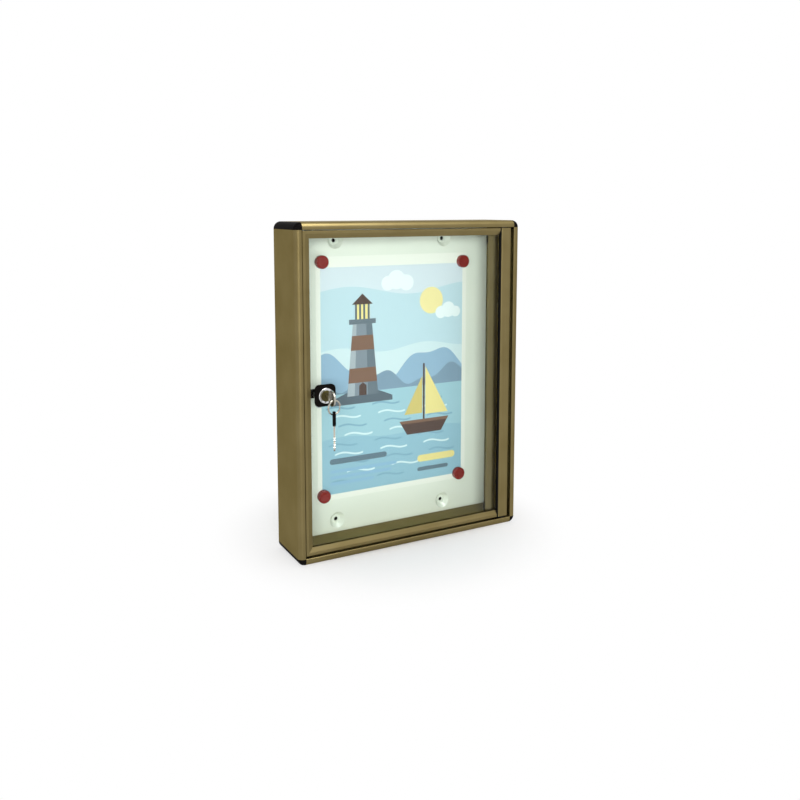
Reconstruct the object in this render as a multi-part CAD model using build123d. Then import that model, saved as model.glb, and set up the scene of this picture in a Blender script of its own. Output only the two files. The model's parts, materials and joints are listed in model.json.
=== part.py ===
"""Lockable wall notice board for one A4 sheet: anodised case, hinged clear door, magnetic back panel.

Frame: the origin is the centre of the four wall holes, on the plane of the wall. +Z is up, +X is to
the right seen from the front, and the front faces -Y. Depths are counted backwards from the front of
the case, and insets inwards from its outer faces.
"""
import os

from build123d import *

# Case
case_width = 298.0
case_height = 388.0
case_depth = 66.0
profile_thickness = 8.5
profile_wall = 1.4
nose_radius = 6.0
lip_edge_radius = 1.0
front_chamber_depth = 18.0
tongue_length = 24.0
tongue_clearance = 0.1
cap_spigot_radius = 0.6

# Back panel and wall holes
panel_to_wall = 6.0
panel_thickness = 1.2
panel_groove_depth = 5.0
panel_groove_clearance = 0.2
panel_edge_clearance = 0.4
panel_corner_clearance = 0.3
hole_inset_x = 74.0
hole_inset_z = 23.0
wall_hole_radius = 2.5
dimple_radius = 10.0
dimple_floor_radius = 5.5

# Sheet of paper and its magnets
paper_margin_x = 44.0
paper_margin_z = 45.5
paper_thickness = 0.25
paper_shift_x = 4.3
paper_shift_z = 3.8
magnet_radius = 8.0
magnet_height = 5.8
magnet_edge_radius = 1.1
magnet_dish_radius = 5.4
magnet_dish_depth = 0.7
magnet_disc_radius = 6.0
magnet_disc_height = 3.2
magnet_inset_left = 7.1
magnet_inset_right = 6.9
magnet_inset_top = 6.1
magnet_inset_top_right = 10.9
magnet_inset_bottom = 7.2
magnet_inset_bottom_right = 11.3

# Door
door_setback = 1.2
door_gap_left = 0.6
door_gap_bottom = 2.4
door_gap_top = 0.8
rail_width = 8.6
rail_depth = 12.4
rail_flange = 3.2
rail_lip = 0.7
rail_flat = 3.4
rail_wall = 1.2
rail_edge_radius = 0.6
rail_end_gap = 0.3
pane_thickness = 3.0
pane_slot_clearance = 0.1
pane_edge_gap = 0.5
bead_width = 1.6
corner_key_arm = 20.0
corner_key_clearance = 0.15

# Hinge
hinge_inset = 19.0
hinge_setback = 8.5
barrel_radius = 7.5
barrel_wall = 1.5
barrel_corner_radius = 2.2
leg_reach = 22.4
leg_thickness = 1.5
leg_end_gap = 0.1
pin_radius = 2.5
pin_end_gap = 0.5
pin_in_bush = 9.0
pin_clearance = 0.05
bush_length = 11.0
bush_flange_radius = 6.8
bush_clearance = 0.05
thrust_gap_bottom = 0.1
thrust_gap_top = 0.3

# Lock
lock_inset = 35.0
escutcheon_size = 25.0
escutcheon_thickness = 2.4
escutcheon_corner = 5.5
escutcheon_edge = 0.7
lock_head_radius = 8.9
lock_head_thickness = 2.2
lock_head_edge = 0.7
lock_barrel_radius = 8.0
lock_barrel_length = 14.0
lock_hole_clearance = 0.15
lock_nut_sides = 6
lock_nut_width = 21.0
lock_nut_thickness = 3.5
nut_thread_clearance = 0.05
plug_flange_radius = 6.4
plug_flange_thickness = 1.2
plug_proud = 0.1
plug_radius = 5.4
plug_clearance = 0.05
plug_neck_radius = 4.4
plug_tail_side = 5.6
cam_thickness = 2.0
cam_width = 10.0
cam_length = 18.0
cam_keeper_gap = 0.6
cam_square_clearance = 0.05
cam_screw_head_radius = 3.4
cam_screw_head_height = 1.8
cam_screw_slot_width = 0.8
cam_screw_slot_depth = 0.7
cam_screw_radius = 1.5
cam_screw_length = 4.0
screw_hole_clearance = 0.05

# Keeper behind which the cam turns
keeper_tab_height = 10.0
keeper_thickness = 2.4
keeper_end_gap = 0.8
keeper_foot_height = 28.0
keeper_foot_width = 10.0
keeper_foot_thickness = 2.6
keeper_edge_radius = 0.8
keeper_screw_offset = 9.5
keeper_screw_radius = 1.5
keeper_screw_head_radius = 2.8
keeper_screw_head_height = 1.2
keeper_screw_length = 7.0

# Keys and ring
key_bow_radius = 9.0
key_bow_edge = 0.4
key_bow_hole_radius = 2.1
key_bow_hole_inset = 3.2
key_bow_field_radius = 4.5
key_bow_field_depth = 0.3
key_bow_field_shift = 2.0
key_bow_overlap = 2.0
key_head_length = 16.0
key_head_width = 13.0
key_head_thickness = 3.6
key_head_corner = 5.0
key_head_edge = 1.0
key_hole_radius = 3.4
key_hole_inset = 4.6
key_blade_length = 20.0
spare_blade_length = 28.0
spare_cut_first = 12.0
key_blade_width = 7.0
key_blade_thickness = 2.0
key_tang_length = 7.0
key_in_plug = 14.0
key_slot_clearance = 0.15
key_slot_spare_depth = 1.0
key_tip_chamfer = 2.0
key_cut_first = 4.0
key_cut_pitch = 2.6
key_cut_width = 2.0
key_cut_depths = (1.1, 0.6, 1.3, 0.8, 1.0)
ring_radius = 8.0
ring_wire_radius = 0.9
ring_top_offset = 0.8
ring_hang_offset = 1.4
ring_turn = 15.0
spare_key_turn = -22.3

overrun = 1.0
quarter_turn = 90.0

# Places that follow from the sizes
half_width = case_width / 2
half_height = case_height / 2
hole_x = half_width - hole_inset_x
hole_z = half_height - hole_inset_z
opening_half_width = half_width - profile_thickness
opening_half_height = half_height - profile_thickness
front_y = -case_depth
panel_front_depth = case_depth - panel_to_wall
panel_back_depth = panel_front_depth + panel_thickness

door_left = -opening_half_width + door_gap_left
door_bottom = -opening_half_height + door_gap_bottom
door_top = opening_half_height - door_gap_top
door_height = door_top - door_bottom
door_middle = (door_top + door_bottom) / 2
pane_slot_front = door_setback + rail_flange
pane_front_depth = pane_slot_front + pane_slot_clearance
pane_back_depth = pane_front_depth + pane_thickness
pane_slot_back = pane_back_depth + pane_slot_clearance
rail_back_depth = door_setback + rail_depth

hinge_x = half_width - hinge_inset
hinge_y = front_y + hinge_setback
barrel_left = hinge_x - barrel_radius
rail_right = barrel_left - rail_end_gap
bead_left = barrel_left - bead_width

lock_x = -half_width + lock_inset
lock_front_depth = pane_front_depth - escutcheon_thickness
lock_head_front = lock_front_depth - lock_head_thickness
lock_barrel_end = lock_front_depth + lock_barrel_length
keeper_front_depth = lock_barrel_end + keeper_end_gap
keeper_back_depth = keeper_front_depth + keeper_thickness
cam_front_depth = keeper_back_depth + cam_keeper_gap
cam_back_depth = cam_front_depth + cam_thickness
plug_face_depth = lock_head_front - plug_proud

bow_shoulder = 2 * key_bow_radius - key_bow_hole_inset
head_shoulder = key_head_length - key_hole_inset
key_hole_depth = plug_face_depth + key_in_plug - bow_shoulder - key_blade_length
ring_centre_z = -ring_top_offset - ring_radius
spare_hole_z = ring_centre_z - ring_radius - ring_hang_offset

paper_left = paper_shift_x + paper_margin_x - half_width
paper_right = paper_shift_x - paper_margin_x + half_width
paper_bottom = paper_shift_z + paper_margin_z - half_height
paper_top = paper_shift_z - paper_margin_z + half_height
paper_front_depth = panel_front_depth - paper_thickness


def block(x0, x1, y0, y1, z0, z1):
    """Box between two limits on each axis."""
    middle = Pos((x0 + x1) / 2, (y0 + y1) / 2, (z0 + z1) / 2)
    return middle * Box(x1 - x0, y1 - y0, z1 - z0)


def rectangle(x0, x1, y0, y1):
    """Flat rectangle between two limits on each axis."""
    return Pos((x0 + x1) / 2, (y0 + y1) / 2) * Rectangle(x1 - x0, y1 - y0)


def rod(radius, start, end):
    """Cylinder along local Z between two heights."""
    return Pos(0, 0, start) * Cylinder(radius, end - start, align=(Align.CENTER, Align.CENTER, Align.MIN))


def facing_back(x, z, shape):
    """Turns a shape built along local Z so that local Z is the depth, at a place on the front."""
    return Pos(x, front_y, z) * Rot(-quarter_turn, 0, 0) * shape


def corners_near(shape, x, y):
    """The corner of a flat shape that lies nearest to a point."""
    return [min(shape.vertices(), key=lambda corner: (corner.X - x) ** 2 + (corner.Y - y) ** 2)]


# Frame extrusion: a hollow box with a rounded nose, three chambers and a groove for the back panel
def chamber_limits():
    front_end = profile_wall + front_chamber_depth
    groove_front = panel_front_depth - panel_groove_clearance
    groove_back = panel_back_depth + panel_groove_clearance
    return [
        (profile_wall, front_end),
        (front_end + profile_wall, groove_front - profile_wall),
        (groove_back + profile_wall, case_depth - profile_wall),
    ]


def frame_section():
    """Section with the inset from the outer face along X and the depth along Y."""
    section = rectangle(0, profile_thickness, 0, case_depth)
    section = fillet(corners_near(section, 0, 0), nose_radius)
    section = fillet(corners_near(section, profile_thickness, 0), lip_edge_radius)
    inner = profile_thickness - profile_wall
    for number, (start, end) in enumerate(chamber_limits()):
        chamber = rectangle(profile_wall, inner, start, end)
        if number == 0:
            chamber = fillet(corners_near(chamber, profile_wall, start), nose_radius - profile_wall)
        section -= chamber
    groove_front = panel_front_depth - panel_groove_clearance
    groove_back = panel_back_depth + panel_groove_clearance
    groove_floor = profile_thickness - panel_groove_depth
    section -= rectangle(groove_floor, profile_thickness + overrun, groove_front, groove_back)
    return section


def frame_profile(turn, half_span, length):
    """One side of the case: the left one turned about Y to its place."""
    bar = extrude(frame_section(), length / 2, both=True)
    return Rot(0, turn, 0) * Pos(-half_span, front_y, 0) * bar


# Corner caps: a quarter turn of the frame's outer outline with two tongues that plug its chambers
def corner_cap(turn, x, z):
    outline = rectangle(-profile_thickness, 0, 0, case_depth)
    outline = fillet(corners_near(outline, -profile_thickness, 0), nose_radius)
    cap = revolve(outline, Axis.Y, quarter_turn)
    near = profile_wall + tongue_clearance
    far = profile_thickness - near
    for number, (start, end) in enumerate(chamber_limits()[:2]):
        y0 = start + tongue_clearance
        y1 = end - tongue_clearance
        if number == 0:
            y0 = nose_radius
        down = block(-far, -near, y0, y1, -tongue_length, 0)
        across = block(0, tongue_length, y0, y1, near, far)
        for tongue, direction in ((down, Axis.Z), (across, Axis.X)):
            cap += fillet(tongue.edges().filter_by(direction), cap_spigot_radius)
    return Pos(x, front_y, z) * Rot(0, turn, 0) * cap


def hinge_pin_hole(side):
    """Hole for the hinge pin through the inner wall and the tongue, at the top (1) or bottom (-1)."""
    inner_face = side * opening_half_height
    deep_end = side * (half_height - profile_wall - tongue_clearance)
    low, high = sorted((inner_face - side * overrun, deep_end))
    return Pos(hinge_x, hinge_y, 0) * rod(pin_radius + pin_clearance, low, high)


# Back panel: enamelled sheet with four dimples pressed back to the wall
def back_panel():
    edge = profile_thickness - panel_groove_depth + panel_edge_clearance
    half_x = half_width - edge
    half_z = half_height - edge
    notch = profile_thickness - edge + panel_corner_clearance
    y0 = front_y + panel_front_depth
    y1 = front_y + panel_back_depth
    sheet = block(-half_x, half_x, y0, y1, -half_z, half_z)
    for side_x in (-1, 1):
        for side_z in (-1, 1):
            corner = block(-notch, notch, y0 - overrun, y1 + overrun, -notch, notch)
            sheet -= Pos(side_x * half_x, 0, side_z * half_z) * corner
            sheet -= facing_back(side_x * hole_x, side_z * hole_z, dimple_space())
            sheet += facing_back(side_x * hole_x, side_z * hole_z, dimple())
    return sheet


def dimple():
    """Pressed cone with a flat floor on the wall plane, about local Z as the depth."""
    floor_front = case_depth - panel_thickness
    points = [
        (dimple_radius, panel_front_depth),
        (dimple_radius, panel_back_depth),
        (dimple_floor_radius, case_depth),
        (wall_hole_radius, case_depth),
        (wall_hole_radius, floor_front),
        (dimple_floor_radius, floor_front),
    ]
    outline = make_face(Polyline(*[(radius, 0, depth) for radius, depth in points], close=True))
    return revolve(outline, Axis.Z)


def dimple_space():
    return rod(dimple_radius, panel_front_depth - overrun, panel_back_depth + overrun)


# Sheet of paper and the magnets that hold it
def paper():
    y1 = front_y + panel_front_depth
    return block(paper_left, paper_right, y1 - paper_thickness, y1, paper_bottom, paper_top)


def magnet_cap(x, z):
    """Plastic cap with a dished face and a round pocket behind."""
    back = paper_front_depth
    front = back - magnet_height
    cap = rod(magnet_radius, front, back)
    cap = fillet(cap.edges().sort_by(Axis.Z)[0], magnet_edge_radius)
    sphere_radius = (magnet_dish_radius ** 2 + magnet_dish_depth ** 2) / (2 * magnet_dish_depth)
    cap -= Pos(0, 0, front + magnet_dish_depth - sphere_radius) * Sphere(sphere_radius)
    cap -= rod(magnet_disc_radius, back - magnet_disc_height, back + overrun)
    return facing_back(x, z, cap)


def magnet_disc(x, z):
    back = paper_front_depth
    return facing_back(x, z, rod(magnet_disc_radius, back - magnet_disc_height, back))


# Door frame: glazing channel with a hollow back, mitred at the lock side
def rail_section():
    """Section with the inset from the door's edge along X and the depth along Y. Its front slopes inwards."""
    lip_front = pane_slot_front - rail_lip
    points = [(0, door_setback), (rail_flat, door_setback), (rail_width, lip_front),
              (rail_width, rail_back_depth), (0, rail_back_depth)]
    section = make_face(Polyline(*points, close=True))
    section = fillet(corners_near(section, 0, door_setback), rail_edge_radius)
    section -= rectangle(rail_wall, rail_width + overrun, pane_slot_front, pane_slot_back)
    box_front, box_back = chamber_depths()
    section -= rectangle(rail_wall, rail_width - rail_wall, box_front, box_back)
    return section


def chamber_depths():
    return pane_slot_back + rail_wall, rail_back_depth - rail_wall


def mitre_plane(z, side):
    """Plane through the door's corner on the lock side, at the top (1) or bottom (-1)."""
    return Plane(origin=(door_left, front_y, z), z_dir=(1, 0, side))


def lock_stile():
    bar = extrude(rail_section(), door_height / 2, both=True)
    bar = Pos(door_left, front_y, door_middle) * bar
    for z, side in ((door_top, 1), (door_bottom, -1)):
        bar = split(bar, bisect_by=mitre_plane(z, side), keep=Keep.BOTTOM)
    return bar


def door_rail(side):
    """Top (1) or bottom (-1) rail, from the mitre to the hinge barrel."""
    z = door_top if side > 0 else door_bottom
    length = rail_right - door_left
    bar = extrude(rail_section(), length / 2, both=True)
    bar = Pos((door_left + rail_right) / 2, front_y, z) * Rot(0, side * quarter_turn, 0) * bar
    bar = split(bar, bisect_by=mitre_plane(z, side), keep=Keep.TOP)
    bar -= bead_block(0)
    box_front, box_back = chamber_depths()
    inner = sorted((z - side * (rail_width - rail_wall), z - side * (rail_width + overrun)))
    arm_left = hinge_x - leg_reach
    return bar - block(arm_left, rail_right + overrun, front_y + box_front, front_y + box_back, *inner)


def bead_block(shorter):
    """Glazing bead in front of the pane's hinge edge, over the door's whole height."""
    y0 = front_y + door_setback
    y1 = front_y + pane_front_depth
    return block(bead_left, barrel_left, y0, y1, door_bottom + shorter, door_top - shorter)


def door_pane():
    y0 = front_y + pane_front_depth
    edge = rail_wall + pane_edge_gap
    pane = block(door_left + edge, rail_right, y0, y0 + pane_thickness, door_bottom + edge, door_top - edge)
    hole = rod(lock_barrel_radius + lock_hole_clearance, 0, rail_back_depth)
    return pane - facing_back(lock_x, 0, hole)


def lock_corner_key(side):
    """L-shaped key in the hollow backs of the lock stile and one rail."""
    z = door_top if side > 0 else door_bottom
    near = rail_wall + corner_key_clearance
    far = rail_width - near
    box_front, box_back = chamber_depths()
    y0 = front_y + box_front + corner_key_clearance
    y1 = front_y + box_back - corner_key_clearance
    across = sorted((z - side * near, z - side * far))
    upright = sorted((z - side * near, z - side * corner_key_arm))
    key = block(door_left + near, door_left + corner_key_arm, y0, y1, *across)
    return key + block(door_left + near, door_left + far, y0, y1, *upright)


def hinge_corner_key(side):
    """L-shaped key from the hollow of one rail to the back of the hinge stile's leg."""
    z = door_top if side > 0 else door_bottom
    near = rail_wall + corner_key_clearance
    far = rail_width - near
    box_front, box_back = chamber_depths()
    y0 = front_y + pane_slot_back + leg_thickness
    y1 = front_y + box_back - corner_key_clearance
    arm_left = hinge_x - leg_reach + corner_key_clearance
    across = sorted((z - side * near, z - side * far))
    upright = sorted((z - side * near, z - side * corner_key_arm))
    key = block(rail_right - corner_key_arm, rail_right, y0, y1, *across)
    return key + block(arm_left, rail_right, y0, y1, *upright)


# Hinge: a barrel on the door turns on two pins in the case
def hinge_stile():
    """Tube with a flat front and a round back, and a leg behind the pane."""
    outline = Circle(barrel_radius) + rectangle(-barrel_radius, barrel_radius, -barrel_radius, 0)
    for side in (-1, 1):
        front_corner = corners_near(outline, side * barrel_radius, -barrel_radius)
        outline = fillet(front_corner, barrel_corner_radius)
    barrel = extrude(outline - Circle(barrel_radius - barrel_wall), door_height / 2, both=True)
    stile = Pos(hinge_x, hinge_y, door_middle) * barrel
    leg_margin = rail_width + leg_end_gap
    y0 = front_y + pane_slot_back
    leg_right = hinge_x - (barrel_radius - barrel_wall)
    leg = block(hinge_x - leg_reach, leg_right, y0, y0 + leg_thickness,
                door_bottom + leg_margin, door_top - leg_margin)
    bore = Pos(hinge_x, hinge_y, door_middle) * Cylinder(barrel_radius - barrel_wall, door_height)
    return stile + (leg - bore)


def hinge_bush(side):
    """Flanged bush in the end of the barrel. The bottom flange carries the door."""
    door_gap = door_gap_top if side > 0 else door_gap_bottom
    thrust_gap = thrust_gap_top if side > 0 else thrust_gap_bottom
    bush = rod(barrel_radius - barrel_wall - bush_clearance, -bush_length, 0)
    bush += rod(bush_flange_radius, 0, door_gap - thrust_gap)
    bush -= rod(pin_radius + pin_clearance, -bush_length - overrun, door_gap + overrun)
    z = door_top if side > 0 else door_bottom
    turn = 0 if side > 0 else 2 * quarter_turn
    return Pos(hinge_x, hinge_y, z) * Rot(turn, 0, 0) * bush


def hinge_pin(side):
    deep_end = half_height - profile_wall - tongue_clearance - pin_end_gap
    free_end = (door_top if side > 0 else -door_bottom) - pin_in_bush
    pin = rod(pin_radius, free_end, deep_end)
    pin = chamfer(pin.edges().sort_by(Axis.Z)[0], pin_end_gap)
    turn = 0 if side > 0 else 2 * quarter_turn
    return Pos(hinge_x, hinge_y, 0) * Rot(turn, 0, 0) * pin


# Lock: escutcheon, chromed housing and nut on the pane, with the plug and cam that turn in it
def lock_escutcheon():
    outline = RectangleRounded(escutcheon_size, escutcheon_size, escutcheon_corner)
    plate = extrude(outline, escutcheon_thickness)
    plate = fillet(plate.faces().sort_by(Axis.Z)[0].edges(), escutcheon_edge)
    plate = Pos(0, 0, lock_front_depth) * plate
    plate -= rod(lock_barrel_radius + lock_hole_clearance, 0, pane_back_depth)
    return facing_back(lock_x, 0, plate)


def lock_housing():
    head = rod(lock_head_radius, lock_head_front, lock_front_depth)
    head = fillet(head.edges().sort_by(Axis.Z)[0], lock_head_edge)
    housing = head + rod(lock_barrel_radius, lock_front_depth, lock_barrel_end)
    housing -= rod(plug_flange_radius + plug_clearance, lock_head_front - overrun,
                   lock_head_front + plug_flange_thickness)
    housing -= rod(plug_radius + plug_clearance, lock_head_front, lock_barrel_end + overrun)
    return facing_back(lock_x, 0, housing)


def lock_nut():
    hexagon = RegularPolygon(lock_nut_width / 2, lock_nut_sides, major_radius=False)
    nut = Pos(0, 0, pane_back_depth) * extrude(hexagon, lock_nut_thickness)
    nut -= rod(lock_barrel_radius + nut_thread_clearance, 0, rail_back_depth)
    return facing_back(lock_x, 0, nut)


def lock_plug():
    flange_back = lock_head_front + plug_flange_thickness - plug_clearance
    plug = rod(plug_flange_radius, plug_face_depth, flange_back)
    plug += rod(plug_radius, flange_back, lock_barrel_end)
    plug += rod(plug_neck_radius, lock_barrel_end, cam_front_depth)
    tail = Box(plug_tail_side, plug_tail_side, cam_thickness, align=(Align.CENTER, Align.CENTER, Align.MIN))
    plug += Pos(0, 0, cam_front_depth) * tail
    slot_x = key_blade_thickness / 2 + key_slot_clearance
    slot_y = key_blade_width / 2 + key_slot_clearance
    slot_end = plug_face_depth + key_in_plug + key_slot_spare_depth
    plug -= block(-slot_x, slot_x, -slot_y, slot_y, plug_face_depth - overrun, slot_end)
    hole_radius = cam_screw_radius + screw_hole_clearance
    plug -= rod(hole_radius, cam_back_depth - cam_screw_length, cam_back_depth + overrun)
    return facing_back(lock_x, 0, plug)


def lock_cam():
    """Flat cam that hangs down when unlocked. Local +Y is down."""
    reach = cam_length - cam_width / 2
    blade = Circle(cam_width / 2) + rectangle(-cam_width / 2, cam_width / 2, 0, reach)
    blade += Pos(0, reach) * Circle(cam_width / 2)
    hole_side = plug_tail_side + 2 * cam_square_clearance
    blade -= Rectangle(hole_side, hole_side)
    return facing_back(lock_x, 0, Pos(0, 0, cam_front_depth) * extrude(blade, cam_thickness))


def cam_screw():
    head = rod(cam_screw_head_radius, cam_back_depth, cam_back_depth + cam_screw_head_height)
    half_slot = cam_screw_slot_width / 2
    slot_floor = cam_back_depth + cam_screw_head_height - cam_screw_slot_depth
    head -= block(-cam_screw_head_radius, cam_screw_head_radius, -half_slot, half_slot,
                  slot_floor, slot_floor + cam_screw_slot_depth + overrun)
    shank = rod(cam_screw_radius, cam_back_depth - cam_screw_length, cam_back_depth)
    return facing_back(lock_x, 0, head + shank)


# Keeper: black tab on the left profile, in front of the locked cam
def keeper():
    left = -opening_half_width
    right = lock_x - cam_width / 2 - keeper_end_gap
    y0 = front_y + keeper_front_depth
    tab = block(left, right, y0, y0 + keeper_thickness, -keeper_tab_height / 2, keeper_tab_height / 2)
    tab = fillet(tab.edges().filter_by(Axis.Y).group_by(Axis.X)[-1], keeper_edge_radius)
    foot = block(left, left + keeper_foot_thickness, y0, y0 + keeper_foot_width,
                 -keeper_foot_height / 2, keeper_foot_height / 2)
    foot = fillet(foot.edges().filter_by(Axis.X), keeper_edge_radius)
    bracket = tab + foot
    for side in (-1, 1):
        bracket -= keeper_screw(side, screw_hole_clearance)
    return bracket


def keeper_screw(side, clearance):
    """Countersunk screw through the keeper's foot into the left profile's inner wall."""
    head_face = keeper_foot_thickness
    radius = keeper_screw_radius + clearance
    shank = rod(radius, head_face - keeper_screw_length, head_face)
    cone_place = Pos(0, 0, head_face - keeper_screw_head_height / 2)
    screw = shank + cone_place * Cone(radius, keeper_screw_head_radius + clearance, keeper_screw_head_height)
    y = front_y + keeper_front_depth + keeper_foot_width / 2
    return Pos(-opening_half_width, y, side * keeper_screw_offset) * Rot(0, quarter_turn, 0) * screw


# Keys: the hole for the ring is the local origin, and the blade points along local +Z
def plain_key():
    """Stamped key whose round bow has a plain sunk field on both sides."""
    half = key_blade_thickness / 2
    bow = extrude(Plane.YZ * Circle(key_bow_radius), half, both=True)
    bow = fillet(bow.edges(), key_bow_edge)
    bow_middle = key_bow_radius - key_bow_hole_inset
    key = Pos(0, 0, bow_middle) * bow
    key += key_blade(bow_shoulder - key_bow_overlap, bow_shoulder, key_blade_length, key_cut_first)
    field = extrude(Plane.YZ * Circle(key_bow_field_radius), half, both=True)
    for side in (-1, 1):
        shift = side * (key_blade_thickness - key_bow_field_depth)
        key -= Pos(shift, 0, bow_middle + key_bow_field_shift) * field
    return key - extrude(Plane.YZ * Circle(key_bow_hole_radius), key_blade_thickness, both=True)


def key_head():
    plate = Rectangle(key_head_width, key_head_length)
    plate = fillet(plate.vertices(), key_head_corner)
    plate = Pos(0, key_head_length / 2 - key_hole_inset) * plate - Circle(key_hole_radius)
    head = extrude(Plane.YZ * plate, key_head_thickness / 2, both=True)
    flat_sides = head.faces().filter_by(Axis.X)
    head = fillet([edge for face in flat_sides for edge in face.outer_wire().edges()], key_head_edge)
    return head - key_tang_space()


def key_tang_space():
    half_x = key_blade_thickness / 2
    half_y = key_blade_width / 2
    return block(-half_x, half_x, -half_y, half_y, head_shoulder - key_tang_length, head_shoulder + overrun)


def key_blade(root, shoulder, length, cut_first):
    """Blade from its root inside the head or bow, with the cuts counted from the shoulder."""
    half_x = key_blade_thickness / 2
    half_y = key_blade_width / 2
    blade = block(-half_x, half_x, -half_y, half_y, root, shoulder + length)
    tip_edges = blade.edges().filter_by(Axis.X).group_by(Axis.Z)[-1]
    blade = chamfer(tip_edges, key_tip_chamfer)
    for number, cut_depth in enumerate(key_cut_depths):
        middle = shoulder + cut_first + number * key_cut_pitch
        notch = make_face(Polyline((0, half_y + overrun, middle - key_cut_width / 2 - overrun),
                                   (0, half_y + overrun, middle + key_cut_width / 2 + overrun),
                                   (0, half_y - cut_depth, middle), close=True))
        blade -= extrude(notch, half_x + overrun, both=True)
    return blade


def inserted(shape):
    """Places a key shape in the lock, blade to the back."""
    return facing_back(lock_x, 0, Pos(0, 0, key_hole_depth) * shape)


def hanging(shape):
    """Places a key shape on the ring, blade down."""
    turn = Rot(0, 0, spare_key_turn) * Rot(2 * quarter_turn, 0, 0)
    return Pos(lock_x, front_y + key_hole_depth, spare_hole_z) * turn * shape


def key_ring():
    ring = Rot(0, 0, ring_turn) * Rot(quarter_turn, 0, 0) * Torus(ring_radius, ring_wire_radius)
    return Pos(lock_x, front_y + key_hole_depth, ring_centre_z) * ring


def build():
    parts = {}
    sides = {
        "left": (half_width, case_height),
        "top": (half_height, case_width),
        "right": (half_width, case_height),
        "bottom": (half_height, case_width),
    }
    for number, (name, (half_span, outer_length)) in enumerate(sides.items()):
        length = outer_length - 2 * profile_thickness
        parts["profile_" + name] = frame_profile(number * quarter_turn, half_span, length)
    corners = {
        "top_left": (-opening_half_width, opening_half_height),
        "top_right": (opening_half_width, opening_half_height),
        "bottom_right": (opening_half_width, -opening_half_height),
        "bottom_left": (-opening_half_width, -opening_half_height),
    }
    for number, (name, (x, z)) in enumerate(corners.items()):
        parts["corner_cap_" + name] = corner_cap(number * quarter_turn, x, z)
    for name, side in (("top", 1), ("bottom", -1)):
        for node in ("profile_" + name, "corner_cap_" + name + "_right"):
            parts[node] -= hinge_pin_hole(side)
    parts["back_panel"] = back_panel()
    parts["paper_sheet"] = paper()

    top_z = paper_top - magnet_inset_top
    magnets = {
        "top_left": (paper_left + magnet_inset_left, top_z),
        "top_right": (paper_right - magnet_inset_right, paper_top - magnet_inset_top_right),
        "bottom_left": (paper_left + magnet_inset_left, paper_bottom + magnet_inset_bottom),
        "bottom_right": (paper_right - magnet_inset_bottom_right, paper_bottom + magnet_inset_bottom),
    }
    for name, (x, z) in magnets.items():
        parts["magnet_cap_" + name] = magnet_cap(x, z)
        parts["magnet_disc_" + name] = magnet_disc(x, z)

    parts["lock_stile"] = lock_stile()
    parts["hinge_stile"] = hinge_stile()
    parts["door_pane"] = door_pane()
    parts["glazing_bead"] = bead_block(leg_end_gap)
    for name, side in (("top", 1), ("bottom", -1)):
        parts["door_rail_" + name] = door_rail(side)
        parts["corner_key_lock_" + name] = lock_corner_key(side)
        parts["corner_key_hinge_" + name] = hinge_corner_key(side)
        parts["hinge_bush_" + name] = hinge_bush(side)
        parts["hinge_pin_" + name] = hinge_pin(side)

    parts["lock_escutcheon"] = lock_escutcheon()
    parts["lock_housing"] = lock_housing()
    parts["lock_nut"] = lock_nut()
    parts["lock_plug"] = lock_plug()
    parts["lock_cam"] = lock_cam()
    parts["cam_screw"] = cam_screw()
    parts["keeper"] = keeper()
    parts["keeper_screws"] = Compound([keeper_screw(side, 0) for side in (-1, 1)])
    for side in (-1, 1):
        parts["profile_left"] -= keeper_screw(side, screw_hole_clearance)

    parts["plain_key"] = inserted(plain_key())
    parts["key_ring"] = key_ring()
    parts["spare_key_head"] = hanging(key_head())
    spare_blade = key_blade(head_shoulder - key_tang_length, head_shoulder, spare_blade_length, spare_cut_first)
    parts["spare_key_blade"] = hanging(spare_blade)
    return parts


os.makedirs("parts", exist_ok=True)
for node, shape in build().items():
    export_step(shape, "parts/" + node + ".step")
    box = shape.bounding_box()
    print(node, round(shape.volume, 1), [round(v, 2) for v in (*box.min, *box.max)])
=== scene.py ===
"""Looks of a lockable wall notice board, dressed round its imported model. Lengths are in metres."""
import json
import math

import bmesh
import bpy
from mathutils import Matrix, Vector


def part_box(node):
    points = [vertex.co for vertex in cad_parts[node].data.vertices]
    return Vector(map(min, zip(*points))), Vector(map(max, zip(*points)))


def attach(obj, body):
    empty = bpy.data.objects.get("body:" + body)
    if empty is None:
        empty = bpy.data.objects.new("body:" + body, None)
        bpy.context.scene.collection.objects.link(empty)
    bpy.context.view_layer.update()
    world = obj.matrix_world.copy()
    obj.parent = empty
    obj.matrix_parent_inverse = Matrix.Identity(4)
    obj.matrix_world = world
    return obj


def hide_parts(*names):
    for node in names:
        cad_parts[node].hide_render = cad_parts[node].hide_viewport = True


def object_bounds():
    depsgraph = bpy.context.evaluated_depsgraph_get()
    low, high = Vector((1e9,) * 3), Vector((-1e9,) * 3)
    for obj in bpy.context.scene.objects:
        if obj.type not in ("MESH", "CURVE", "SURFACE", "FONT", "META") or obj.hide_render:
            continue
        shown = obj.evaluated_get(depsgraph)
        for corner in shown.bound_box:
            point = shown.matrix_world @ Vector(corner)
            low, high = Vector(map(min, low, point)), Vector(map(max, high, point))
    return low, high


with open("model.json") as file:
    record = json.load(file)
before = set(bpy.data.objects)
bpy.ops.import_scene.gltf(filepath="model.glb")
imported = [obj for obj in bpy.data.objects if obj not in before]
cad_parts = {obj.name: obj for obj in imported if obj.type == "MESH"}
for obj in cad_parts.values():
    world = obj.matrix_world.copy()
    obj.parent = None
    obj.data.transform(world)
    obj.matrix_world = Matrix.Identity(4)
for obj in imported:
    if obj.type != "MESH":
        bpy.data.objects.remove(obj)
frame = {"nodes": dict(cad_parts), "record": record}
cad_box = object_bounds()

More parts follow.
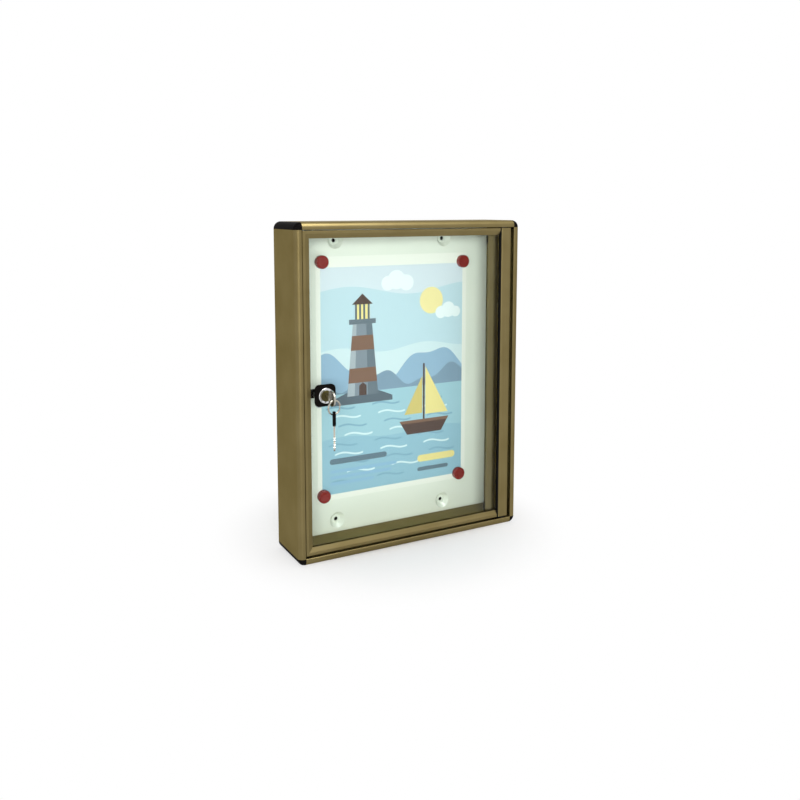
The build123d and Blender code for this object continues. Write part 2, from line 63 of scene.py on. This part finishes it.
# Case frame
# Four extruded aluminium bars, etched and anodised a satin bronze-gold, cut square and pushed on to
# the tongues of the corner caps. The die leaves faint lines along each bar, drawn coarser than they
# are so that they show.
MM = 0.001
ANODISED_COLOUR = "#746742"
ANODISED_PALE = "#80734e"
ANODISED_EDGE = "#cec7b5"
ANODISED_ROUGHNESS = (0.34, 0.46)
DIE_LINE_SPACING = 0.5 * MM
DIE_LINE_LENGTH = 120 * MM
DIE_LINE_DEPTH = 0.02 * MM
ETCH_CLOUD = 35 * MM
ALONG_X, ALONG_Z = 0, 2


def linear(colour):
    """sRGB hex colour as linear red, green, blue and alpha."""
    parts = [int(colour[i:i + 2], 16) / 255 for i in (1, 3, 5)]
    curve = [p / 12.92 if p <= 0.04045 else ((p + 0.055) / 1.055) ** 2.4 for p in parts]
    return (*curve, 1.0)


def add(tree, kind, settings, links=None):
    """Adds a node. Settings are its properties or input values, links the sockets that feed it."""
    node = tree.nodes.new(kind)
    for key, value in settings.items():
        if isinstance(key, int) or key in node.inputs:
            node.inputs[key].default_value = value
        else:
            setattr(node, key, value)
    for key, socket in (links or {}).items():
        tree.links.new(socket, node.inputs[key])
    return node


def new_material(name):
    """An empty node material and its tree."""
    made = bpy.data.materials.new(name)
    made.use_nodes = True
    made.node_tree.nodes.clear()
    return made, made.node_tree


def dress(names, material):
    """Gives CAD nodes their material."""
    for name in names:
        node = frame["nodes"][name]
        node.data.materials.clear()
        node.data.materials.append(material)


def anodised_aluminium(name, along):
    """Satin metal whose die lines run along one axis."""
    made, tree = new_material(name)
    place = add(tree, "ShaderNodeTexCoord", {})
    stretch = [1 / DIE_LINE_SPACING] * 3
    stretch[along] = 1 / DIE_LINE_LENGTH
    turned = add(tree, "ShaderNodeMapping", {"Scale": stretch}, {"Vector": place.outputs["Object"]})
    lines = add(tree, "ShaderNodeTexNoise", {"Scale": 1.0, "Detail": 3.0, "Roughness": 0.6},
                {"Vector": turned.outputs["Vector"]})
    cloud = add(tree, "ShaderNodeTexNoise", {"Scale": 1 / ETCH_CLOUD, "Detail": 2.0},
                {"Vector": place.outputs["Object"]})
    both = add(tree, "ShaderNodeMath", {"operation": "ADD"},
               {0: lines.outputs["Fac"], 1: cloud.outputs["Fac"]})
    share = add(tree, "ShaderNodeMapRange", {"From Min": 0.75, "From Max": 1.25},
                {"Value": both.outputs[0]})
    colour = add(tree, "ShaderNodeMix", {"data_type": "RGBA", 6: linear(ANODISED_COLOUR),
                                         7: linear(ANODISED_PALE)}, {0: share.outputs[0]})
    rough = add(tree, "ShaderNodeMapRange",
                {"To Min": ANODISED_ROUGHNESS[0], "To Max": ANODISED_ROUGHNESS[1]},
                {"Value": lines.outputs["Fac"]})
    bump = add(tree, "ShaderNodeBump", {"Strength": 0.25, "Distance": DIE_LINE_DEPTH},
               {"Height": lines.outputs["Fac"]})
    shader = add(tree, "ShaderNodeBsdfPrincipled",
                 {"Metallic": 1.0, "Specular Tint": linear(ANODISED_EDGE)},
                 {"Base Color": colour.outputs[2], "Roughness": rough.outputs[0],
                  "Normal": bump.outputs[0]})
    add(tree, "ShaderNodeOutputMaterial", {}, {"Surface": shader.outputs[0]})
    return made


upright_aluminium = anodised_aluminium("anodised_aluminium_upright", ALONG_Z)
level_aluminium = anodised_aluminium("anodised_aluminium_level", ALONG_X)
dress(["profile_left", "profile_right"], upright_aluminium)
dress(["profile_top", "profile_bottom"], level_aluminium)

# Corner caps
# Black ABS, injection moulded with a fine spark-eroded grain, pushed into the ends of the bars.
# The grain gives the eye a dull sheen in place of a sharp highlight, and is drawn a little coarser
# than it is so that it shows.
CAP_COLOUR = "#100e0d"
CAP_GLOSS = 0.005
MOULD_GRAIN = 0.35 * MM
MOULD_GRAIN_DEPTH = 0.02 * MM


def moulded_plastic(name, colour, grain, depth, roughness, gloss=0.5):
    """Plastic with its tool's grain. At a gloss of 0.5 it mirrors in full, less weakens that."""
    made, tree = new_material(name)
    place = add(tree, "ShaderNodeTexCoord", {})
    noise = add(tree, "ShaderNodeTexNoise", {"Scale": 1 / grain, "Detail": 2.0},
                {"Vector": place.outputs["Object"]})
    rough = add(tree, "ShaderNodeMapRange",
                {"To Min": roughness - 0.06, "To Max": roughness + 0.08},
                {"Value": noise.outputs["Fac"]})
    bump = add(tree, "ShaderNodeBump", {"Strength": 0.5, "Distance": depth},
               {"Height": noise.outputs["Fac"]})
    shader = add(tree, "ShaderNodeBsdfPrincipled", {"Base Color": linear(colour), "IOR": 1.53,
                                                    "Specular IOR Level": gloss},
                 {"Roughness": rough.outputs[0], "Normal": bump.outputs[0]})
    add(tree, "ShaderNodeOutputMaterial", {}, {"Surface": shader.outputs[0]})
    return made


corners = ["top_left", "top_right", "bottom_right", "bottom_left"]
black_abs = moulded_plastic("black_abs_spark_grain", CAP_COLOUR, MOULD_GRAIN, MOULD_GRAIN_DEPTH,
                            roughness=0.42, gloss=CAP_GLOSS)
dress(["corner_cap_" + corner for corner in corners], black_abs)

# Back panel
# Thin steel sheet, enamelled white with a slight green cast, held in the bars' grooves. The baked
# enamel has a faint orange peel, and the four dimples for the wall screws are pressed into it.
ENAMEL_COLOUR = "#e3e9dd"
ENAMEL_SHADE = "#dbe3d6"
ORANGE_PEEL = 2.2 * MM
ORANGE_PEEL_DEPTH = 0.03 * MM
ENAMEL_CLOUD = 60 * MM

white_enamel, tree = new_material("white_stove_enamel")
place = add(tree, "ShaderNodeTexCoord", {})
peel = add(tree, "ShaderNodeTexNoise", {"Scale": 1 / ORANGE_PEEL, "Detail": 1.0},
           {"Vector": place.outputs["Object"]})
cloud = add(tree, "ShaderNodeTexNoise", {"Scale": 1 / ENAMEL_CLOUD, "Detail": 2.0},
            {"Vector": place.outputs["Object"]})
colour = add(tree, "ShaderNodeMix",
             {"data_type": "RGBA", 6: linear(ENAMEL_COLOUR), 7: linear(ENAMEL_SHADE)},
             {0: cloud.outputs["Fac"]})
bump = add(tree, "ShaderNodeBump", {"Strength": 0.3, "Distance": ORANGE_PEEL_DEPTH},
           {"Height": peel.outputs["Fac"]})
shader = add(tree, "ShaderNodeBsdfPrincipled", {"Roughness": 0.28, "IOR": 1.5},
             {"Base Color": colour.outputs[2], "Normal": bump.outputs[0]})
add(tree, "ShaderNodeOutputMaterial", {}, {"Surface": shader.outputs[0]})
dress(["back_panel"], white_enamel)

# Sheet and its print
# One A4 sheet of coated paper. The printed picture is a generic lake with hills, a tower and a
# boat, in layers of ink each a hair in front of the last, with plain bars over the water.
PAPER_COLOUR = "#e9ede3"
PAPER_FIBRE = 1.2 * MM
INK_STEP = 0.03 * MM
inks = {
    "sky": "#b9d5de",
    "low_sky": "#cbe0e4",
    "high_sky": "#cfdde4",
    "cloud": "#e4f0f1",
    "sun": "#ebe0a0",
    "far_hill": "#8fb0c8",
    "near_hill": "#7c97ab",
    "water": "#9cc4d0",
    "near_water": "#8fb9ca",
    "ripple": "#cfe6ea",
    "deep": "#7fa9bd",
    "rock": "#56646f",
    "tower": "#7d8a94",
    "tower_shade": "#64727c",
    "tower_light": "#a3afb6",
    "hull": "#4e3b35",
    "hull_light": "#7a5d4c",
    "sail": "#e6d98f",
    "sail_shade": "#cdbd72",
    "bar": "#8ab4cf",
    "bar_dark": "#5f7684",
}


def coated_paper(name, colour):
    """Coated paper, calendered smooth. Its fibres' faint mottle is drawn coarse enough to show."""
    made, tree = new_material(name)
    place = add(tree, "ShaderNodeTexCoord", {})
    fibre = add(tree, "ShaderNodeTexNoise", {"Scale": 1 / PAPER_FIBRE, "Detail": 3.0},
                {"Vector": place.outputs["Object"]})
    value = add(tree, "ShaderNodeMapRange", {"To Min": 0.96, "To Max": 1.04},
                {"Value": fibre.outputs["Fac"]})
    mottled = add(tree, "ShaderNodeHueSaturation", {"Color": linear(colour)},
                  {"Value": value.outputs[0]})
    shader = add(tree, "ShaderNodeBsdfPrincipled", {"Roughness": 0.5, "IOR": 1.45},
                 {"Base Color": mottled.outputs[0]})
    add(tree, "ShaderNodeOutputMaterial", {}, {"Surface": shader.outputs[0]})
    return made


dress(["paper_sheet"], coated_paper("coated_paper_white", PAPER_COLOUR))
sheet_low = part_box("paper_sheet")[0]
print_mesh = bmesh.new()
ink_names = list(inks)


def ink(points, colour, layer):
    """Prints one flat shape. Points are millimetres from the sheet's lower left corner."""
    depth = sheet_low.y - INK_STEP * layer
    face = print_mesh.faces.new([
        print_mesh.verts.new((sheet_low.x + x * MM, depth, sheet_low.z + z * MM))
        for x, z in points])
    face.normal_update()
    if face.normal.y > 0:
        face.normal_flip()
    face.material_index = ink_names.index(colour)


def outline_between(top, foot, left, right, steps=36):
    """Outline between two curves, each given as a function of the distance along the sheet."""
    places = [left + (right - left) * i / steps for i in range(steps + 1)]
    return [(x, top(x)) for x in places] + [(x, foot(x)) for x in reversed(places)]


def disc(x, z, radius, steps=36):
    """A round outline."""
    turns = [2 * math.pi * i / steps for i in range(steps)]
    return [(x + radius * math.cos(t), z + radius * math.sin(t)) for t in turns]


def round_bar(left, foot, length, height):
    """The outline of a plain bar with round ends."""
    radius = height / 2
    turns = [math.pi * i / 10 for i in range(11)]
    right, level = left + length - radius, foot + radius
    right_end = [(right + radius * math.sin(t), level - radius * math.cos(t)) for t in turns]
    left_end = [(left + radius - radius * math.sin(t), level + radius * math.cos(t)) for t in turns]
    return right_end + left_end


# The picture's edges and the far shore, in millimetres like all that is printed
EDGE_LEFT = 6
EDGE_RIGHT = 204
EDGE_FOOT = 7
EDGE_HEAD = 284
SHORE = 132


def across(top, foot, colour, layer):
    """Prints a band over the picture's whole width."""
    ink(outline_between(top, foot, EDGE_LEFT, EDGE_RIGHT), colour, layer)


# Sky, water, sun, clouds and hills
across(lambda x: EDGE_HEAD, lambda x: SHORE, "sky", 1)
across(lambda x: EDGE_HEAD, lambda x: 254 + 6 * math.sin(x / 27), "high_sky", 2)
across(lambda x: 182 + 4 * math.sin(x / 19), lambda x: SHORE, "low_sky", 2)
across(lambda x: SHORE + 1, lambda x: EDGE_FOOT, "water", 1)
across(lambda x: 74 + 3 * math.sin(x / 21), lambda x: EDGE_FOOT, "near_water", 2)
ink(disc(158, 238, 17), "sun", 3)
for x, z, radius, layer in ((96, 262, 9, 3), (108, 266, 12, 4), (122, 262, 10, 5),
                            (172, 222, 8, 4), (183, 225, 10, 5), (194, 222, 7, 6)):
    ink(disc(x, z, radius), "cloud", layer)
across(lambda x: 160 + 17 * math.sin(x / 24 + 1.2) + 5 * math.sin(x / 9), lambda x: SHORE,
       "far_hill", 3)
across(lambda x: 144 + 9 * math.sin(x / 17 + 3.0) + 4 * math.sin(x / 7), lambda x: SHORE - 2,
       "near_hill", 4)

# The tower on its rock, lit from the left
ink(outline_between(lambda x: 122 + 12 * math.sin((x - 18) / 84 * math.pi), lambda x: 116, 18, 102),
    "rock", 5)
ink([(40, 126), (82, 126), (74, 214), (48, 214)], "tower", 6)
ink([(40, 126), (50, 126), (53, 214), (48, 214)], "tower_light", 7)
ink([(68, 126), (82, 126), (74, 214), (66, 214)], "tower_shade", 7)
ink([(41.5, 142), (80.5, 142), (78.9, 160), (43.1, 160)], "hull_light", 8)
ink([(45.1, 182), (76.9, 182), (75.3, 200), (46.7, 200)], "hull_light", 8)
ink([(43, 214), (79, 214), (79, 220), (43, 220)], "tower_shade", 7)
ink([(51, 220), (71, 220), (71, 238), (51, 238)], "sail", 7)
for left in (51, 56.5, 62, 68):
    ink([(left, 220), (left + 2.6, 220), (left + 2.6, 238), (left, 238)], "rock", 8)
ink([(47, 238), (75, 238), (61, 251)], "hull", 7)
ink([(56, 126), (66, 126), (66, 138), (61, 142), (56, 138)], "hull", 9)

# Ripples, darker towards the foot
for row in range(9):
    z = 112 - row * 11.5
    shift = 37 * row % 29
    for start in range(EDGE_LEFT + 6 + shift, EDGE_RIGHT - 44, 62):
        ink(outline_between(lambda x: z + 1.8 * math.sin((x - start) / 6.5) + 2.2,
                            lambda x: z + 1.8 * math.sin((x - start) / 6.5), start, start + 38),
            "ripple" if row % 2 else "deep", 3)

# The boat
ink([(112, 86), (184, 86), (173, 68), (123, 68)], "hull", 5)
ink([(112, 86), (184, 86), (182, 82), (114.5, 82)], "hull_light", 6)
ink([(146, 86), (148.5, 86), (148.5, 158), (146, 158)], "hull", 5)
ink([(149.5, 92), (183, 92), (149.5, 154)], "sail", 6)
ink([(145, 94), (119, 94), (145, 142)], "sail_shade", 6)

# Plain bars over the water
for left, foot, length, height, colour in (
        (16, 44, 78, 7, "bar_dark"), (16, 33, 92, 4, "bar"), (16, 25.5, 84, 4, "bar"),
        (16, 18, 60, 4, "bar"), (138, 30, 56, 9, "sail"), (138, 18, 46, 5, "bar_dark")):
    ink(round_bar(left, foot, length, height), colour, 5)

printed = bpy.data.objects.new("sheet_print", bpy.data.meshes.new("sheet_print"))
print_mesh.to_mesh(printed.data)
print_mesh.free()
bpy.context.scene.collection.objects.link(printed)
for name, hue in inks.items():
    printed.data.materials.append(coated_paper("offset_ink_" + name, hue))
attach(printed, "case")

# Magnets
# Four red caps moulded in glossy polystyrene, dished where the finger lifts them, each over a
# pressed disc of dull dark ferrite, which clamps the sheet to the board's steel. The ferrite's
# grain is drawn coarse enough to show.
RED = "#7d1c15"
POLISHED_GRAIN = 1.5 * MM
FERRITE_COLOUR = "#2e2c2d"
FERRITE_GRAIN = 0.4 * MM

red_polystyrene = moulded_plastic("red_polystyrene_polished", RED, POLISHED_GRAIN,
                                  depth=0.008 * MM, roughness=0.24, gloss=0.3)
ferrite = moulded_plastic("ferrite_sintered", FERRITE_COLOUR, FERRITE_GRAIN,
                          depth=0.03 * MM, roughness=0.62)
dress(["magnet_cap_" + corner for corner in corners], red_polystyrene)
dress(["magnet_disc_" + corner for corner in corners], ferrite)

# Keeper
# Moulded black bracket that the lock's cam turns behind, held to the left bar by two countersunk
# screws of zinc-plated steel, which have a cool, slightly cloudy shine.
ZINC_COLOUR = "#b9bcc0"
ZINC_SPANGLE = 1.1 * MM
PLATING_DEPTH = 0.01 * MM


def plated_metal(name, colour, spangle, roughness, spread):
    """Plated or worked metal whose gloss changes in clouds, from the roughness up by the spread."""
    made, tree = new_material(name)
    place = add(tree, "ShaderNodeTexCoord", {})
    noise = add(tree, "ShaderNodeTexNoise", {"Scale": 1 / spangle, "Detail": 3.0},
                {"Vector": place.outputs["Object"]})
    rough = add(tree, "ShaderNodeMapRange", {"To Min": roughness, "To Max": roughness + spread},
                {"Value": noise.outputs["Fac"]})
    value = add(tree, "ShaderNodeMapRange", {"To Min": 0.92, "To Max": 1.08},
                {"Value": noise.outputs["Fac"]})
    cloudy = add(tree, "ShaderNodeHueSaturation", {"Color": linear(colour)},
                 {"Value": value.outputs[0]})
    bump = add(tree, "ShaderNodeBump", {"Strength": 0.2, "Distance": PLATING_DEPTH},
               {"Height": noise.outputs["Fac"]})
    shader = add(tree, "ShaderNodeBsdfPrincipled", {"Metallic": 1.0},
                 {"Base Color": cloudy.outputs[0], "Roughness": rough.outputs[0],
                  "Normal": bump.outputs[0]})
    add(tree, "ShaderNodeOutputMaterial", {}, {"Surface": shader.outputs[0]})
    return made


zinc = plated_metal("steel_zinc_plated", ZINC_COLOUR, ZINC_SPANGLE, roughness=0.28, spread=0.14)
dress(["keeper"], black_abs)
dress(["keeper_screws"], zinc)

# Door frame
# Slim aluminium channels, anodised with the case, mitred on the lock side and joined by black
# corner keys inside. The hinge stile is a tube with a leg, and a dull black rubber bead closes the
# pane's edge.
BEAD_COLOUR = "#0d0d0d"
RUBBER_BLOOM = 4 * MM

dress(["lock_stile", "hinge_stile"], upright_aluminium)
dress(["door_rail_top", "door_rail_bottom"], level_aluminium)
black_rubber = moulded_plastic("epdm_rubber_extruded", BEAD_COLOUR, RUBBER_BLOOM,
                               depth=0.02 * MM, roughness=0.6, gloss=0.05)
dress(["glazing_bead"], black_rubber)
dress(["corner_key_lock_top", "corner_key_lock_bottom", "corner_key_hinge_top",
       "corner_key_hinge_bottom"], black_abs)

# Hinge bushes and pins
# Black acetal bushes, turned from rod, run on two bright ground steel pins fixed in the case. The
# lathe leaves the acetal faintly marked and a little glossier than the moulded parts. These marks
# are drawn coarser than they are so that they show.
ACETAL_COLOUR = "#0e0e0f"
TURNING_MARKS = 0.8 * MM
PIN_COLOUR = "#c3c4c6"
GRINDING_MARKS = 0.6 * MM

black_acetal = moulded_plastic("acetal_turned_black", ACETAL_COLOUR, TURNING_MARKS,
                               depth=0.01 * MM, roughness=0.36, gloss=0.06)
ground_steel = plated_metal("steel_ground", PIN_COLOUR, GRINDING_MARKS, roughness=0.18, spread=0.08)
dress(["hinge_bush_top", "hinge_bush_bottom"], black_acetal)
dress(["hinge_pin_top", "hinge_pin_bottom"], ground_steel)

# Pane
# Clear cast acrylic, 3 mm thick. It shows the sheet almost unchanged, with a faint cool tint and a
# weak mirror of the room at each face, stronger the flatter one looks along it.
ACRYLIC_TINT = "#fafcfb"
PANE_MIRROR_SHARE = 0.15
WHITE = "#ffffff"

clear_acrylic, tree = new_material("acrylic_cast_clear")
through = add(tree, "ShaderNodeBsdfTransparent", {"Color": linear(ACRYLIC_TINT)})
mirror = add(tree, "ShaderNodeBsdfGlossy", {"Color": linear(WHITE), "Roughness": 0.02})
angle = add(tree, "ShaderNodeFresnel", {"IOR": 1.49})
mirror_share = add(tree, "ShaderNodeMath", {"operation": "MULTIPLY", 1: PANE_MIRROR_SHARE},
                   {0: angle.outputs[0]})
pane_shader = add(tree, "ShaderNodeMixShader", {},
                  {0: mirror_share.outputs[0], 1: through.outputs[0], 2: mirror.outputs[0]})
add(tree, "ShaderNodeOutputMaterial", {}, {"Surface": pane_shader.outputs[0]})
dress(["door_pane"], clear_acrylic)

# Lock
# A cam lock through the pane: black moulded escutcheon, zinc housing chromed to a near mirror,
# brass plug with its nickel worn off and dull round the keyway, plain plated nut and cam behind.
CHROME_COLOUR = "#d9dadc"
CHROME_CLOUD = 3 * MM
BRASS_COLOUR = "#575133"
BRASS_WEAR = 0.9 * MM

chrome = plated_metal("zinc_casting_chromed", CHROME_COLOUR, CHROME_CLOUD,
                      roughness=0.07, spread=0.06)
brass = plated_metal("brass_turned_worn", BRASS_COLOUR, BRASS_WEAR, roughness=0.26, spread=0.2)
dress(["lock_escutcheon"], black_abs)
dress(["lock_housing"], chrome)
dress(["lock_plug"], brass)
dress(["lock_nut", "lock_cam", "cam_screw"], zinc)

# Keys
# Two keys stamped in nickel silver, which has a soft, faintly yellow shine: a plain one in the lock
# and one with a thick black moulded head. They share a split ring, a flat wire wound twice round
# with a short jog from one turn to the other.
NICKEL_COLOUR = "#b5b2a8"
STAMPING_CLOUD = 1.6 * MM

nickel_silver = plated_metal("nickel_silver_stamped", NICKEL_COLOUR, STAMPING_CLOUD,
                             roughness=0.2, spread=0.12)
dress(["spare_key_head"], black_abs)
dress(["plain_key", "spare_key_blade"], nickel_silver)

RING_MIDDLE = 8.0 * MM
RING_TURNS = 1.93
RING_STEPS = 190
RING_TURN = math.radians(15)
JOG_START, JOG_END = 0.93, 1.0
WIRE_HALF_WIDTH = 0.78 * MM
WIRE_HALF_THICKNESS = 0.41 * MM
WIRE_CORNER = 0.14 * MM
TURN_OFFSET = 0.44 * MM

ring_low, ring_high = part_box("key_ring")
ring_centre = (ring_low + ring_high) / 2
wire_section = []
for side_r, side_y in ((1, 1), (-1, 1), (-1, -1), (1, -1)):
    near_corner = [(side_r * WIRE_HALF_WIDTH, side_y * (WIRE_HALF_THICKNESS - WIRE_CORNER)),
                   (side_r * (WIRE_HALF_WIDTH - WIRE_CORNER), side_y * WIRE_HALF_THICKNESS)]
    wire_section += near_corner if side_r * side_y > 0 else near_corner[::-1]
ring_mesh = bmesh.new()
rows = []
for step in range(RING_STEPS + 1):
    wound = RING_TURNS * step / RING_STEPS
    jog = min(max((wound - JOG_START) / (JOG_END - JOG_START), 0), 1)
    depth = TURN_OFFSET * (2 * jog * jog * (3 - 2 * jog) - 1)
    angle = 2 * math.pi * wound
    rows.append([ring_mesh.verts.new(ring_centre + Matrix.Rotation(RING_TURN, 3, "Z") @ Vector(
        ((RING_MIDDLE + r) * math.cos(angle), depth + y, (RING_MIDDLE + r) * math.sin(angle))))
        for r, y in wire_section])
for row, following in zip(rows, rows[1:]):
    for i in range(len(row)):
        ring_mesh.faces.new((row[i - 1], row[i], following[i], following[i - 1])).smooth = True
ring_mesh.faces.new(rows[0])
ring_mesh.faces.new(rows[-1][::-1])
bmesh.ops.recalc_face_normals(ring_mesh, faces=ring_mesh.faces)
split_ring = bpy.data.objects.new("split_ring", bpy.data.meshes.new("split_ring"))
ring_mesh.to_mesh(split_ring.data)
ring_mesh.free()
bpy.context.scene.collection.objects.link(split_ring)
split_ring.data.materials.append(nickel_silver)
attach(split_ring, "ring")
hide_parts("key_ring")

# Floor and background
# A plain white floor at the foot of the case, which fades into a white background with the
# distance from the case's centre. Close to the foot a quarter of it is plain white, and the rest
# keeps the shadow.
FLOOR_COLOUR = "#fafafa"
FLOOR_HALF = 6.0
FADE_START = 0.2
FADE_END = 0.3
FLOOR_WHITE_SHARE = 0.25


def background_rays(tree):
    """1 for what is seen, also in a mirror or through a clear sheet, and 0 for light on things."""
    path = add(tree, "ShaderNodeLightPath", {})
    seen = add(tree, "ShaderNodeMath", {"operation": "ADD", "use_clamp": True},
               {0: path.outputs["Is Camera Ray"], 1: path.outputs["Is Glossy Ray"]})
    return add(tree, "ShaderNodeMath", {"operation": "ADD", "use_clamp": True},
               {0: seen.outputs[0], 1: path.outputs["Is Transmission Ray"]})


floor_z = cad_box[0].z
floor_mesh = bmesh.new()
floor_mesh.faces.new([floor_mesh.verts.new((x * FLOOR_HALF, y * FLOOR_HALF, floor_z))
                      for x, y in ((-1, -1), (1, -1), (1, 1), (-1, 1))])
floor = bpy.data.objects.new("studio_floor", bpy.data.meshes.new("studio_floor"))
floor_mesh.to_mesh(floor.data)
floor_mesh.free()
bpy.context.scene.collection.objects.link(floor)
floor_paint, tree = new_material("studio_floor_matt")
place = add(tree, "ShaderNodeTexCoord", {})
distance = add(tree, "ShaderNodeVectorMath", {"operation": "LENGTH"}, {0: place.outputs["Object"]})
fade = add(tree, "ShaderNodeMapRange",
           {"From Min": FADE_START, "From Max": FADE_END, "To Min": FLOOR_WHITE_SHARE,
            "interpolation_type": "SMOOTHSTEP"}, {"Value": distance.outputs["Value"]})
matt = add(tree, "ShaderNodeBsdfDiffuse", {"Color": linear(FLOOR_COLOUR)})
white = add(tree, "ShaderNodeEmission", {"Color": linear(WHITE), "Strength": 1.0})
seen = background_rays(tree)
share = add(tree, "ShaderNodeMath", {"operation": "MULTIPLY"},
            {0: fade.outputs[0], 1: seen.outputs[0]})
surface = add(tree, "ShaderNodeMixShader", {},
              {0: share.outputs[0], 1: matt.outputs[0], 2: white.outputs[0]})
add(tree, "ShaderNodeOutputMaterial", {}, {"Surface": surface.outputs[0]})
floor.data.materials.append(floor_paint)

# Wall holes
# Dark discs just behind the panel's four holes stand for the holes drilled in the wall. Their
# near-black colour is painted shade, for the dark seen through the holes.
HOLE_SHADE_COLOUR = "#14110f"
WALL_HOLE_RADIUS = 3.5 * MM
WALL_HOLE_BEHIND = 0.3 * MM
fixing = next(mount for mount in frame["record"]["mounts"] if mount["name"] == "wall_fixings")
half_x = fixing["dims"]["spacing_x_mm"] * MM / 2
half_z = fixing["dims"]["spacing_y_mm"] * MM / 2
hole_mesh = bmesh.new()
for x, z in ((-half_x, half_z), (half_x, half_z), (half_x, -half_z), (-half_x, -half_z)):
    hole_mesh.faces.new([hole_mesh.verts.new((a, WALL_HOLE_BEHIND, b))
                         for a, b in disc(x, z, WALL_HOLE_RADIUS, 24)])
wall_holes = bpy.data.objects.new("wall_holes", bpy.data.meshes.new("wall_holes"))
hole_mesh.to_mesh(wall_holes.data)
hole_mesh.free()
bpy.context.scene.collection.objects.link(wall_holes)
# Painted shade: the discs are drawn almost black for the dark inside the holes.
wall_holes.data.materials.append(moulded_plastic(
    "wall_hole_painted_shade", HOLE_SHADE_COLOUR, MOULD_GRAIN, MOULD_GRAIN_DEPTH, roughness=0.8, gloss=0.1))

# Studio light
# A white room with a soft lamp to the left of the camera, which lights only what is matt. Two
# boxes light only what is glossy: the one above draws the top bar's nose, and the one on the left
# the left bar's nose.
ROOM_LEVEL = 0.62
world = bpy.data.worlds.new("white_studio")
bpy.context.scene.world = world
world.use_nodes = True
world.node_tree.nodes.clear()
tree = world.node_tree
seen = background_rays(tree)
level = add(tree, "ShaderNodeMapRange", {"To Min": ROOM_LEVEL, "To Max": 1.0},
            {"Value": seen.outputs[0]})
room = add(tree, "ShaderNodeBackground", {"Color": linear(WHITE)}, {"Strength": level.outputs[0]})
add(tree, "ShaderNodeOutputWorld", {}, {"Surface": room.outputs[0]})

for name, place, width, height, power, on_matt in (
        ("soft_lamp_front", (-0.92, -1.95, 0.36), 0.9, 0.5, 41, True),
        ("soft_box_above", (0.0, -0.85, 1.36), 0.9, 1.1, 35, False),
        ("soft_box_left", (-0.7, -1.7, -0.5), 0.6, 1.8, 13, False)):
    lamp = bpy.data.lights.new(name, "AREA")
    lamp.shape = "RECTANGLE"
    lamp.size = width
    lamp.size_y = height
    lamp.energy = power
    holder = bpy.data.objects.new(name, lamp)
    holder.location = place
    holder.rotation_euler = (-Vector(place)).to_track_quat("-Z", "Y").to_euler()
    holder.visible_diffuse = on_matt
    holder.visible_glossy = not on_matt
    bpy.context.scene.collection.objects.link(holder)
bpy.context.scene.view_settings.view_transform = "Standard"

# Camera
# At the photograph's angle, worked out from the case's edges: to the left of the board, a little
# above its middle and about a metre away. The shift stands for the photograph's crop.
CAMERA_PLACE = (-0.4843, -0.9217, 0.2099)
CAMERA_YAW = 0.4969
CAMERA_PITCH = 0.1139
CAMERA_LENS_PIXELS = 845.34
CAMERA_SHIFT = -0.12
IMAGE_PIXELS = 800
SENSOR_WIDTH = 36.0

camera = bpy.data.cameras.new("camera")
camera.sensor_width = SENSOR_WIDTH
camera.lens = CAMERA_LENS_PIXELS / IMAGE_PIXELS * SENSOR_WIDTH
camera.shift_y = CAMERA_SHIFT
camera.clip_start = 0.01
eye = bpy.data.objects.new("camera", camera)
eye.location = CAMERA_PLACE
eye.rotation_euler = (math.pi / 2 - CAMERA_PITCH, 0, -CAMERA_YAW)
bpy.context.scene.collection.objects.link(eye)
bpy.context.scene.camera = eye
